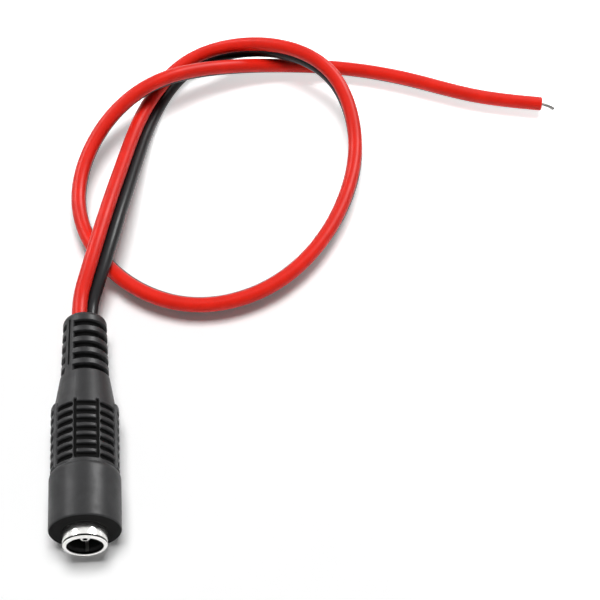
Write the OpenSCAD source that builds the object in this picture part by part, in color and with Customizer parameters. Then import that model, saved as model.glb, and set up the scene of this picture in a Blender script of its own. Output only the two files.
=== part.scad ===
// DC barrel jack pigtail: a moulded socket on a red and black two-core lead, laid in a loose loop.
// Millimetres, +Z up. The socket's axis is the Y axis, its mouth faces -Y and its throat starts at the origin.
// The collar rests on the floor at z = -collar_d / 2, and so does the lead.

/* [Socket] */
// Sleeve diameter of the plug that goes in
plug_d = 5.5; // [4.5:0.05:6]
// Radial running clearance between plug and mouth
plug_clear = 0.05; // [0.02:0.01:0.1]
// Length of the mouth's throat
throat = 0.4; // [0.3:0.05:1.5]
// Depth of the socket from its mouth
socket_depth = 10; // [8.5:0.1:11.5]
// Wall of the ferrule
shell_wall = 0.25; // [0.2:0.05:0.5]
// Radius of the ferrule's rounded rim
rim_round = 0.45; // [0.2:0.05:0.6]
// Rounding of the rim's inner edge
lip_round = 0.15; // [0.05:0.05:0.2]

/* [Insulator] */
// Wall of the tube inside the ferrule
core_wall = 0.4; // [0.3:0.05:0.6]
// Length of the lead-in behind the throat
lead_in = 0.6; // [0.55:0.05:1]
// Thickness of the back wall
back_wall = 1.6; // [1:0.1:2.5]
// Diameter of the anchor flange behind the ferrule
flange_d = 8.4; // [7.8:0.1:9]
// Thickness of the anchor flange
flange_len = 1.2; // [0.6:0.1:1.4]

/* [Centre pin] */
// Pin diameter
pin_d = 2; // [1.6:0.05:2.5]
// How far the pin's tip stands back from the mouth
pin_setback = 1.1; // [0.3:0.05:2]
// Rounding of the pin's tip
pin_round = 0.4; // [0.1:0.05:0.6]
// Diameter of the shank in the back wall
shank_d = 1.5; // [1:0.05:1.6]
// Diameter of the riveted head
head_d = 2.6; // [2:0.1:3.2]
// Thickness of the riveted head
head_len = 0.3; // [0.2:0.05:0.5]
// Diameter of the solder post
post_d = 1.2; // [0.8:0.05:1.4]
// Length of the solder post behind the head
post_len = 3.1; // [2.5:0.1:4]

/* [Leaf contact] */
// Width of the spring strip
leaf_w = 0.5; // [0.4:0.05:1]
// Thickness of the spring strip
leaf_t = 0.25; // [0.15:0.05:0.3]
// How far the strip's bow stands into the socket
leaf_bow = 0.3; // [0.1:0.05:0.5]
// Distance of the bow's middle from the mouth
bow_at = 4.7; // [4.2:0.1:6]
// Length of each slope of the bow
bow_slope = 2.2; // [1.5:0.1:2.6]
// Length of the bow's flat top
bow_top = 1; // [0.4:0.1:1.6]
// Side clearance of the strip in its slot
leaf_clear = 0.1; // [0.05:0.05:0.2]
// How far the solder tail is set towards the axis
tail_set = 0.7; // [0.4:0.05:0.9]
// Length of the solder tail behind the insulator
tail_len = 4.6; // [4:0.1:5.5]

/* [Collar] */
// How far the mouth stands out of the collar's face
stand_out = 2.4; // [1.5:0.1:3.5]
// Collar diameter
collar_d = 11.2; // [10.4:0.1:13]
// Collar length
collar_len = 9.6; // [9:0.1:12]
// Rounding of the collar's front edge
edge_round = 0.3; // [0.1:0.05:0.6]
// Length of the rounded shoulder at the collar's back
shoulder_len = 1; // [0.6:0.1:2]

/* [Grip] */
// Diameter over the ribs
grip_d = 10.2; // [9.6:0.1:11]
// Ring slots in each column
slot_n = 7; // [6:1:9]
// Distance from slot to slot
slot_pitch = 1.54; // [1.3:0.02:1.8]
// Slot width
slot_w = 0.85; // [0.4:0.05:0.9]
// Slot depth in the middle of a column
slot_deep = 0.65; // [0.3:0.05:0.7]
// Distance from the collar to the middle of the first slot
slot_lead = 1.1; // [0.6:0.05:1.5]
// Length of a slot in the top and bottom columns
top_slot = 3.7; // [3.4:0.1:3.9]
// Length of a slot in the four slanted columns
side_slot = 3.4; // [2.4:0.1:3.5]
// Length of a slot in the two side pads
pad_slot = 4; // [2.4:0.1:4.2]
// How far the side pads stand proud of the ribs
pad_proud = 0.3; // [0.1:0.05:0.4]
// Angle that each side pad covers
pad_angle = 50; // [48:1:52]
// How far the side pads run on over the neck
pad_over = 1.3; // [0.8:0.1:2]
// Bevel of the side pads' ends
pad_bevel = 0.3; // [0.1:0.05:0.4]
// Width of the long grooves beside the top and bottom columns
groove_w = 0.45; // [0.3:0.05:0.5]
// Depth of the long grooves
groove_deep = 0.5; // [0.2:0.05:0.6]
// Angle of the long grooves from the middle of their column
groove_turn = 21; // [20:0.5:22]
// How far the long grooves run on over the neck
groove_over = 0.6; // [0.2:0.1:1]
// Turn of the whole moulding about its axis as it lies
mould_roll = 9; // [-45:1:45]

/* [Neck and strain relief] */
// Length of the tapered neck
neck_len = 7.8; // [5:0.1:10]
// Diameter where the neck meets the strain relief
relief_root_d = 7.74; // [7.2:0.02:9]
// Diameter of the strain relief before its rounded end
relief_tip_d = 7.18; // [7:0.02:7.6]
// Length of the strain relief
relief_len = 10.6; // [9.5:0.1:12.5]
// Rounding of its end
end_round = 1; // [0.6:0.1:1.4]
// Ring slots in the strain relief
relief_n = 5; // [3:1:5]
// Distance from ring slot to ring slot
relief_pitch = 2.15; // [1.7:0.05:2.25]
// Width of a ring slot
relief_slot = 1.05; // [0.5:0.05:1.2]
// Full ring left behind the last slot
relief_land = 1.95; // [1.45:0.05:2.4]
// Diameter left at the bottom of the ring slots
relief_floor_d = 5.6; // [5.5:0.1:6.2]
// Angle that each of the two rails keeps
rail_angle = 26; // [20:1:60]
// Angle that the parting line on each rail covers
seam_angle = 6; // [2:0.5:8]
// Depth of the parting line
seam_deep = 0.2; // [0.05:0.01:0.25]

/* [Lead] */
// Diameter of each insulated core
wire_d = 2.5; // [2.1:0.05:2.6]
// Gap between the two cores
core_gap = 0.1; // [0.05:0.05:0.2]
// Clearance of a core in the moulding
wire_clear = 0.01; // [0.01:0.01:0.05]
// Width of the slit that joins the two holes in the moulding
slit_w = 0.6; // [0.3:0.1:1]
// Distance from the insulator's back to the cores' cut ends
strip_gap = 6.9; // [6:0.1:8]
// Diameter of the tinned strands
strand_d = 0.9; // [0.6:0.05:1.2]
// Diameter of the solder at each joint
solder_d = 2; // [1.8:0.05:2.2]
// Length of the bare end
bare_len = 2.4; // [1:0.1:8]
// Diameter of the bare end
bare_d = 0.6; // [0.5:0.02:1.2]

/* [Hidden] */
$fn = 64;

mouth_r = plug_d / 2 + plug_clear;
core_r = mouth_r + core_wall;
shell_r = core_r + shell_wall;
rim_flat = 0.05;
rim_r = min(rim_round, core_wall + shell_wall - lip_round - rim_flat);
core_end = socket_depth + back_wall;
// the ferrule ends on the flange
shell_len = core_end - flange_len;
pin_r = pin_d / 2;
post_end = core_end + head_len + post_len;

// the strip lies just off the ferrule's wall, bows into the socket and leaves through the back wall
leaf_seat = 0.005;
leaf_setback = 0.2;
leaf_bend = 0.3;
leaf_room = 0.5;
leaf_rest = sqrt(core_r * core_r - leaf_w * leaf_w / 4) - leaf_t / 2 - leaf_seat;
leaf_crest = mouth_r - leaf_bow + leaf_t / 2;
leaf_tail = leaf_rest - tail_set;
// the strip's middle line: distance behind the mouth, distance below the axis
LEAF = [
    [throat + leaf_setback, leaf_rest],
    [bow_at - bow_top / 2 - bow_slope, leaf_rest],
    [bow_at - bow_top / 2, leaf_crest],
    [bow_at + bow_top / 2, leaf_crest],
    [bow_at + bow_top / 2 + bow_slope, leaf_rest],
    [core_end + leaf_bend, leaf_rest],
    [core_end + leaf_bend + 1.5 * tail_set, leaf_tail],
    [core_end + tail_len, leaf_tail]
];

collar_r = collar_d / 2;
floor_z = -collar_r;
grip_r = grip_d / 2;
grip_y = stand_out + collar_len;
slot_y = grip_y + slot_lead;
// the taper starts just behind the middle of the last slot
neck_lead = 0.36;
neck_y = slot_y + (slot_n - 1) * slot_pitch + neck_lead;
relief_y = neck_y + neck_len;
exit_y = relief_y + relief_len;
pad_r = grip_r + pad_proud;
pad_root_r = grip_r - 0.8;
pad_gap = 0.1;
// angles of the slot columns from the top
TOP_COLUMNS = [0, 180];
SIDE_COLUMNS = [44, 136, 224, 316];
PAD_COLUMNS = [90, 270];
rail_turn = 47;
seam_inset = 0.4;

// the pair of cores lies in the plane of the two rails
pair_turn = mould_roll - rail_turn;
wire_r = wire_d / 2;
pitch = wire_d + core_gap;
red_at = [sin(pair_turn), cos(pair_turn)] * pitch / 2;
wire_y = core_end + strip_gap;
red_joint_y = core_end + head_len + post_len / 2;
black_joint_y = core_end + tail_len - solder_d / 2;

// free route of the red core past the moulding: x, distance behind route_y, height above its resting
// place on the floor, and how far the black core leans to the left of the way the lead runs
route_lead = 0.4;
route_y = exit_y - route_lead;
ROUTE = [
    [1, 10, 5, -42],
    [4, 21.5, 5.6, -44],
    [7, 34.5, 2.8, -38],
    [10, 48, 0, -32],
    [17, 59.5, 0, 0],
    [27, 61.5, 2.6, 20],
    [38, 57, 6.2, 20],
    [47, 50, 5.4, 14],
    [49.5, 37, 0.8, 4],
    [46, 24.5, 0, -8],
    [40, 13.5, 0.2, -24],
    [30.5, 5, 0.2, -36],
    [17.5, 2.5, 0.2, -38],
    [6, 8.5, 0.2, -32],
    [-1, 20, 0, -12],
    [-2, 32, 0.4, 10],
    [3.5, 43.5, 3.8, 28],
    [13, 50.5, 6.6, 36],
    [24.5, 56, 2.8, 40],
    [36.5, 58, 0, 42],
    [48.5, 56.5, 0, 42],
    [60.5, 52.5, 0.2, 38],
    [71.5, 47, 0, 42],
    [84, 44.5, 0, 42]
];
// straight stretch inside the moulding and just past it
LEAD_IN = [wire_y, wire_y + 8, exit_y - 6, exit_y + 0.3, exit_y + 4.3];
WAY = concat(
    [for (y = LEAD_IN) [red_at[0], y, red_at[1], pair_turn]],
    [for (p = ROUTE) [p[0], route_y + p[1], floor_z + wire_r + pitch * cos(p[3]) + p[2], p[3]]]
);
last = len(WAY) - 1;
rings = 39;
sides = 8;

// smooth curve that follows the way's points: a uniform cubic b-spline that starts and ends on them
function way(i) = i < 0 ? 2 * WAY[0] - WAY[1] : i > last ? 2 * WAY[last] - WAY[last - 1] : WAY[i];
function blend(k, a, b, c, d) = way(k - 1) * a + way(k) * b + way(k + 1) * c + way(k + 2) * d;
function spot(k, u) = blend(k, pow(1 - u, 3) / 6, (3 * pow(u, 3) - 6 * u * u + 4) / 6,
    (-3 * pow(u, 3) + 3 * u * u + 3 * u + 1) / 6, pow(u, 3) / 6);
function slope(k, u) = blend(k, -pow(1 - u, 2) / 2, (3 * u * u - 4 * u) / 2,
    (-3 * u * u + 2 * u + 1) / 2, u * u / 2);
function span(t) = min(floor(t), last - 1);
function at(t) = spot(span(t), t - span(t));
function unit(v) = v / norm(v);
function heading(t) = let (d = slope(span(t), t - span(t))) unit([d[0], d[1], d[2]]);
// direction from the red core to the black one
function across(t) = let (
    ahead = heading(t),
    up = unit([0, 0, 1] - ahead * ahead[2]),
    left = cross(up, ahead),
    lean = at(t)[3]
) left * sin(lean) - up * cos(lean);
// a core's middle: side 0 is the red one, side 1 the black one
function core_at(t, side) = let (p = at(t)) [p[0], p[1], p[2]] + across(t) * pitch * side;
function ring(t, side) = let (u = across(t), v = cross(heading(t), u)) [
    for (i = [0:sides - 1]) let (a = (i + 0.5) * 360 / sides)
        core_at(t, side) + (u * cos(a) + v * sin(a)) * wire_r
];

function arc(cx, cy, rx, ry, a, b, n) = [
    for (i = [0:n]) [cx + rx * cos(a + (b - a) * i / n), cy + ry * sin(a + (b - a) * i / n)]
];

// stands a shape made along Z on the socket's axis; its -Y side becomes the top
module along_y() {
    rotate([-90, 0, 0]) children();
}

module stadium(l, w) {
    union() {
        square([l - w, w], center = true);
        for (s = [-1, 1]) translate([s * (l - w) / 2, 0]) circle(d = w, $fn = 24);
    }
}

// one slot of a column: a pocket with a flat bottom, cut straight in from the top
module pocket(l, bottom, y, round_ends) {
    translate([0, -bottom, y]) rotate([90, 0, 0]) linear_extrude(height = collar_r)
        if (round_ends) stadium(l, slot_w);
        else square([l, slot_w], center = true);
}

module grip_slots() {
    for (i = [0:slot_n - 1]) {
        y = slot_y + i * slot_pitch;
        for (a = TOP_COLUMNS) rotate([0, 0, a]) pocket(top_slot, grip_r - slot_deep, y, false);
        for (a = SIDE_COLUMNS) rotate([0, 0, a]) pocket(side_slot, grip_r - slot_deep, y, true);
        for (a = PAD_COLUMNS) rotate([0, 0, a]) pocket(pad_slot, pad_r - slot_deep, y, true);
    }
    for (a = TOP_COLUMNS) for (s = [-1, 1])
        rotate([0, 0, a + s * groove_turn])
            translate([-groove_w / 2, -collar_r, slot_y - slot_w / 4])
                cube([groove_w, collar_r - grip_r + groove_deep, neck_y + groove_over - slot_y + slot_w / 4]);
}

module side_pads() {
    front = grip_y + pad_gap;
    back = neck_y + pad_over;
    for (s = [0, 180])
        rotate([0, 0, s - pad_angle / 2])
            rotate_extrude(angle = pad_angle)
                polygon([[pad_root_r, front], [pad_r - pad_bevel, front], [pad_r, front + pad_bevel],
                         [pad_r, back - pad_bevel], [pad_r - pad_bevel, back], [pad_root_r, back]]);
}

// ring slots from rail to rail on both sides
module relief_slots() {
    for (i = [0:relief_n - 1]) for (s = [0, 180])
        rotate([0, 0, s - 90 - rail_turn + rail_angle / 2])
            rotate_extrude(angle = 180 - rail_angle)
                translate([relief_floor_d / 2, exit_y - relief_land - relief_slot - i * relief_pitch])
                    square([relief_root_d, relief_slot]);
}

// parting lines along the middle of both rails
module rail_seams() {
    front = [relief_root_d / 2, relief_y];
    back = [relief_tip_d / 2, exit_y - end_round];
    inset = seam_inset * unit(back - front);
    deep = [seam_deep, 0];
    for (s = [0, 180])
        rotate([0, 0, s - 90 - rail_turn - seam_angle / 2])
            rotate_extrude(angle = seam_angle)
                polygon([front + inset - deep, front + inset + deep, back - inset + deep, back - inset - deep]);
}

module housing_body() {
    rotate_extrude() polygon(concat(
        [[0, stand_out]],
        arc(collar_r - edge_round, stand_out + edge_round, edge_round, edge_round, -90, 0, 4),
        arc(grip_r, grip_y - shoulder_len, collar_r - grip_r, shoulder_len, 0, 90, 8),
        [[grip_r, neck_y], [relief_root_d / 2, relief_y]],
        arc(relief_tip_d / 2 - end_round, exit_y - end_round, end_round, end_round, 0, 90, 7),
        [[0, exit_y]]
    ));
}

// holes for both cores and the slit between them, which starts a little behind their cut ends
module wire_holes() {
    depth = exit_y - wire_y + 1;
    slit_y = wire_y + slit_w;
    for (s = [-1, 1])
        translate([s * red_at[0], -s * red_at[1], wire_y]) cylinder(r = wire_r + wire_clear, h = depth);
    rotate([0, 0, pair_turn]) translate([-slit_w / 2, -pitch / 2, slit_y]) cube([slit_w, pitch, depth]);
}

module moulded_housing() {
    color([0.05, 0.05, 0.055]) along_y() difference() {
        union() {
            housing_body();
            rotate([0, 0, mould_roll]) side_pads();
        }
        rotate([0, 0, mould_roll]) grip_slots();
        rotate([0, 0, mould_roll]) relief_slots();
        rotate([0, 0, mould_roll]) rail_seams();
        translate([0, 0, stand_out - 1]) cylinder(r = shell_r, h = shell_len - stand_out + 1);
        translate([0, 0, shell_len]) cylinder(d = flange_d, h = flange_len);
        pin_body();
        leaf_body();
        red_joint_body(past = 1);
        black_joint_body(past = 1);
        wire_holes();
    }
}

module contact_shell() {
    color([0.8, 0.8, 0.82]) along_y() rotate_extrude() polygon(concat(
        [[mouth_r, throat]],
        arc(mouth_r + lip_round, 0, lip_round, lip_round, 180, 270, 4),
        arc(shell_r - rim_r, rim_r - lip_round, rim_r, rim_r, -90, 0, 8),
        [[shell_r, shell_len], [core_r, shell_len], [core_r, throat]]
    ));
}

module insulator() {
    slot_top = mouth_r - leaf_bow - leaf_room;
    color([0.03, 0.03, 0.03]) along_y() difference() {
        rotate_extrude() polygon([
            [core_r - core_wall / 4, throat],
            [core_r, throat],
            [core_r, shell_len],
            [flange_d / 2, shell_len],
            [flange_d / 2, core_end],
            [shank_d / 2, core_end],
            [shank_d / 2, socket_depth],
            [mouth_r, socket_depth],
            [mouth_r, throat + lead_in]
        ]);
        translate([-leaf_w / 2 - leaf_clear, slot_top, 0])
            cube([leaf_w + 2 * leaf_clear, core_r - slot_top, core_end + 1]);
    }
}

module pin_body() {
    rotate_extrude() polygon(concat(
        [[0, pin_setback]],
        arc(pin_r - pin_round, pin_setback + pin_round, pin_round, pin_round, -90, 0, 6),
        [[pin_r, socket_depth], [shank_d / 2, socket_depth], [shank_d / 2, core_end], [head_d / 2, core_end],
         [head_d / 2, core_end + head_len], [post_d / 2, core_end + head_len], [post_d / 2, post_end],
         [0, post_end]]
    ));
}

module centre_pin() {
    color([0.78, 0.77, 0.74]) along_y() pin_body();
}

module leaf_body() {
    n = len(LEAF) - 1;
    rotate([0, -90, 0]) translate([0, 0, -leaf_w / 2]) linear_extrude(height = leaf_w)
        polygon(concat(
            [for (i = [0:n]) LEAF[i] + [0, leaf_t / 2]],
            [for (i = [n:-1:0]) LEAF[i] - [0, leaf_t / 2]]
        ));
}

module leaf_contact() {
    color([0.72, 0.66, 0.5]) along_y() leaf_body();
}

module core_solid(side) {
    points = [for (i = [0:rings]) each ring(last * i / rings, side)];
    walls = [for (i = [0:rings - 1]) for (j = [0:sides - 1]) let (
        a = i * sides + j,
        b = i * sides + (j + 1) % sides
    ) each [[a, b, b + sides], [a, b + sides, a + sides]]];
    front_end = [for (j = [sides - 1:-1:0]) j];
    back_end = [for (j = [0:sides - 1]) rings * sides + j];
    polyhedron(points = points, faces = concat([front_end], walls, [back_end]), convexity = 8);
}

module red_wire() {
    color([0.8, 0.05, 0.03]) core_solid(0);
}

module black_wire() {
    color([0.02, 0.02, 0.02]) core_solid(1);
}

// tinned strands from the solder that holds them to a core's cut end, and as far past it as asked
module strands(x, z, y, past) {
    translate([x, -z, y]) cylinder(d = strand_d, h = wire_y - y + past);
}

module red_joint_body(past = 0) {
    difference() {
        union() {
            strands(red_at[0], red_at[1], red_joint_y, past);
            translate([red_at[0] / 2, -red_at[1] / 2, red_joint_y]) sphere(d = solder_d);
        }
        pin_body();
    }
}

module red_joint() {
    color([0.7, 0.7, 0.7]) along_y() red_joint_body();
}

module black_joint_body(past = 0) {
    difference() {
        union() {
            strands(-red_at[0], -red_at[1], black_joint_y, past);
            translate([-red_at[0] / 2, (red_at[1] + leaf_tail) / 2, black_joint_y]) sphere(d = solder_d);
        }
        leaf_body();
    }
}

module black_joint() {
    color([0.7, 0.7, 0.7]) along_y() black_joint_body();
}

// tinned bare end, straight on from a core's cut face
module bare_end(side) {
    ahead = heading(last);
    translate(core_at(last, side))
        rotate([0, acos(ahead[2]), atan2(ahead[1], ahead[0])]) cylinder(d = bare_d, h = bare_len, $fn = 32);
}

module red_tip() {
    color([0.7, 0.7, 0.7]) bare_end(0);
}

module black_tip() {
    color([0.7, 0.7, 0.7]) bare_end(1);
}

moulded_housing();
contact_shell();
insulator();
centre_pin();
leaf_contact();
red_wire();
black_wire();
red_joint();
black_joint();
red_tip();
black_tip();
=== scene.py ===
"""DC barrel jack pigtail: the looks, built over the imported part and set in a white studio.

The part's lengths are written in millimetres, as in its source, and turned into metres where a mesh is made.
"""

import logging
import math
from dataclasses import dataclass
from enum import Enum
from typing import ClassVar, Iterable, Sequence, Union

import bpy
import numpy as np
from mathutils import Matrix, Vector


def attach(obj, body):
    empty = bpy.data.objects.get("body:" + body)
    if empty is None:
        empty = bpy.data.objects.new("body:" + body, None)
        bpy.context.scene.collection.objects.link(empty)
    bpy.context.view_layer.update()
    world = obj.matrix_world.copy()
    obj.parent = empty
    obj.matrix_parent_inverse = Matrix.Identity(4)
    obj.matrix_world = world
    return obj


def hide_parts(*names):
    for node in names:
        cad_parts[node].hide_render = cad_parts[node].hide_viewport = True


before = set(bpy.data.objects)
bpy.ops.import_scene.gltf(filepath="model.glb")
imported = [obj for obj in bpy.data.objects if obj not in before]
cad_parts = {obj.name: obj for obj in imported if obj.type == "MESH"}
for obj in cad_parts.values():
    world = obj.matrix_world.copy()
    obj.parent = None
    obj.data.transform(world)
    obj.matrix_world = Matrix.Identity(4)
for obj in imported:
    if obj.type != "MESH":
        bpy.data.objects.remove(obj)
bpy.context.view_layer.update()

log = logging.getLogger("pigtail")
MM = 0.001
# least radius, in metres, that is divided by
LEAST_RADIUS = 1e-6

Colour = tuple[float, float, float]
Pair = tuple[float, float]
Point = tuple[float, float, float]
Value = Union["Field", bpy.types.NodeSocket, float, int, bool, str, Sequence[float], bpy.types.ID]


class Slot(Enum):
    """Material slots of the record."""

    HOUSING = "housing_pvc"
    NICKEL = "nickel_plate"
    CORE = "core_plastic"
    SPRING = "spring_bronze"
    RED = "red_pvc"
    BLACK = "black_pvc"
    TINNED = "tinned_copper"


class Side(Enum):
    """The two cores of the lead, by their place across the pair."""

    RED = 0
    BLACK = 1


class Ends(Enum):
    """How a slot of the grip ends."""

    SQUARE = 0.0
    ROUND = 1.0


class Mark(Enum):
    """Attributes that a mesh carries for its recipe or its finish."""

    # eased edges, where the housing's finish paints a lighter highlight
    EDGE = "edge"
    # points where the finish paints shade: cuts, creases, hollows and the front face
    RECESS = "recess"
    FACING = "facing"


class Shine(Enum):
    """What a lamp does, as whether it lights surfaces and whether it shows in them as a highlight."""

    LIGHT = (True, False)
    HIGHLIGHT = (False, True)


class Tree(Enum):
    """Kinds of node tree."""

    GEOMETRY = "GeometryNodeTree"
    SHADER = "ShaderNodeTree"


# Node tools


class Graph:
    """Adds nodes to one tree and links them."""

    def __init__(self, tree: bpy.types.NodeTree) -> None:
        """Keeps the tree that the nodes go into."""
        self.tree = tree

    def feed(self, socket: bpy.types.NodeSocket, value: Value) -> None:
        """Links a value to an input, or sets it there.

        Args:
            socket: The input.
            value: A field or socket to link, or a plain value.
        """
        if isinstance(value, Field):
            value = value.socket
        if isinstance(value, bpy.types.NodeSocket):
            self.tree.links.new(value, socket)
        else:
            socket.default_value = value

    def node(
        self, kind: str, inputs: dict[Union[str, int], Value] | None = None, **settings: Value
    ) -> bpy.types.Node:
        """Adds a node.

        Args:
            kind: The node's type name.
            inputs: Values by the input's name or number.
            **settings: Properties of the node.

        Returns:
            The new node.
        """
        made = self.tree.nodes.new(kind)
        for name, value in settings.items():
            setattr(made, name, value)
        for name, value in (inputs or {}).items():
            self.feed(made.inputs[name], value)
        return made

    def math(self, operation: str, *values: Value) -> "Field":
        """Returns the result of a math operation on values in order."""
        made = self.node("ShaderNodeMath", dict(enumerate(values)), operation=operation)
        return Field(self, made.outputs[0])

    def ramp(
        self,
        value: Value,
        span: tuple[Value, Value],
        ends: tuple[Value, Value] = (0.0, 1.0),
        smooth: bool = True,
    ) -> "Field":
        """Maps a range to another, and holds the ends.

        Args:
            value: The value to map.
            span: Start and end of the range that it comes from.
            ends: What they become.
            smooth: Whether the way between is eased.

        Returns:
            The mapped value.
        """
        values = dict(enumerate((value, *span, *ends)))
        kind = "SMOOTHSTEP" if smooth else "LINEAR"
        made = self.node("ShaderNodeMapRange", values, interpolation_type=kind)
        return Field(self, made.outputs[0])

    def mix(self, share: Value, first: Value, second: Value) -> bpy.types.NodeSocket:
        """Returns two colours mixed, where share is how much of the second shows."""
        # inputs 6 and 7 and output 2 are the node's colours
        made = self.node("ShaderNodeMix", {0: share, 6: first, 7: second}, data_type="RGBA")
        return made.outputs[2]

    def noise(self, place: Value, scale: Value, detail: float, rough: float) -> "Field":
        """Returns a noise about 0.5 at a place, with finer layers (detail) of a strength (rough)."""
        values = {"Vector": place, "Scale": scale, "Detail": detail, "Roughness": rough}
        return Field(self, self.node("ShaderNodeTexNoise", values).outputs["Fac"])

    def bump(self, height: Value, depth: Value) -> bpy.types.NodeSocket:
        """Returns the normal of a surface whose height varies by a depth in metres."""
        values = {"Strength": 1.0, "Distance": depth, "Height": height}
        return self.node("ShaderNodeBump", values).outputs["Normal"]

    def object_place(self) -> bpy.types.NodeSocket:
        """Returns the place on a surface in object space."""
        return self.node("ShaderNodeTexCoord").outputs["Object"]

    def mark(self, mark: Mark) -> "Field":
        """Returns a mark of the mesh, for a shader."""
        return Field(self, self.node("ShaderNodeAttribute", attribute_name=mark.value).outputs["Fac"])

    def axes(self) -> tuple["Field", ...]:
        """Returns the x, y and z of a geometry's points."""
        position = self.node("GeometryNodeInputPosition").outputs[0]
        return tuple(Field(self, s) for s in self.node("ShaderNodeSeparateXYZ", {0: position}).outputs)

    def point(self, x: Value = 0.0, y: Value = 0.0, z: Value = 0.0) -> bpy.types.NodeSocket:
        """Returns the point with these coordinates."""
        return self.node("ShaderNodeCombineXYZ", {0: x, 1: y, 2: z}).outputs[0]

    def moved(self, geometry: Value, place: Value) -> bpy.types.NodeSocket:
        """Returns a geometry with its points at a new place."""
        return self.node("GeometryNodeSetPosition", {"Geometry": geometry, "Position": place}).outputs[0]

    def circle(self, sides: Value, radius: Value) -> bpy.types.NodeSocket:
        """Returns a circle to sweep."""
        values = {"Resolution": sides, "Radius": radius}
        return self.node("GeometryNodeCurvePrimitiveCircle", values, mode="RADIUS").outputs[0]

    def swept(self, curve: Value, section: Value, scale: Value = 1.0) -> bpy.types.NodeSocket:
        """Returns a section swept along a curve, with closed ends."""
        values = {"Curve": curve, "Profile Curve": section, "Scale": scale, "Fill Caps": True}
        return self.node("GeometryNodeCurveToMesh", values).outputs[0]


class Field:
    """A number that varies over a mesh or a surface, written with ordinary arithmetic."""

    def __init__(self, graph: Graph, socket: bpy.types.NodeSocket) -> None:
        """Keeps the graph that new nodes go into and the output that gives the number."""
        self.graph = graph
        self.socket = socket

    def __add__(self, other: Value) -> "Field":
        """Returns the sum with other."""
        return self.graph.math("ADD", self, other)

    def __sub__(self, other: Value) -> "Field":
        """Returns this less other."""
        return self.graph.math("SUBTRACT", self, other)

    def __mul__(self, other: Value) -> "Field":
        """Returns the product with other."""
        return self.graph.math("MULTIPLY", self, other)

    def __truediv__(self, other: Value) -> "Field":
        """Returns this divided by other."""
        return self.graph.math("DIVIDE", self, other)

    def __abs__(self) -> "Field":
        """Returns the size without its sign."""
        return self.graph.math("ABSOLUTE", self)

    def least(self, other: Value) -> "Field":
        """Returns the smaller of this and other."""
        return self.graph.math("MINIMUM", self, other)

    def most(self, other: Value) -> "Field":
        """Returns the larger of this and other."""
        return self.graph.math("MAXIMUM", self, other)

    def nearest(self) -> "Field":
        """Returns the nearest whole number."""
        return self.graph.math("ROUND", self)

    def root(self) -> "Field":
        """Returns the square root."""
        return self.graph.math("SQRT", self)

    def sine(self) -> "Field":
        """Returns the sine of an angle."""
        return self.graph.math("SINE", self)

    def cosine(self) -> "Field":
        """Returns the cosine of an angle."""
        return self.graph.math("COSINE", self)

    def folded(self) -> "Field":
        """Returns an angle wrapped to a quarter turn on either side of zero."""
        return self.graph.math("WRAP", self, math.pi / 2, -math.pi / 2)

    def inside(self, soft: Value) -> "Field":
        """Returns 1 where this distance is below zero and 0 above it, eased over soft on either side."""
        return self.graph.ramp(self, (self.graph.math("MULTIPLY", soft, -1.0), soft), (1.0, 0.0))

    def border(self) -> "Field":
        """Returns a number that is 1 half way across a mask's eased edge, and 0 away from it."""
        return self * (self * -1.0 + 1.0) * 4.0

    def towards(self, other: Value, share: Value) -> "Field":
        """Returns a value between this and other, which a share of 1 reaches."""
        return self + self.graph.math("SUBTRACT", other, self) * share


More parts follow.
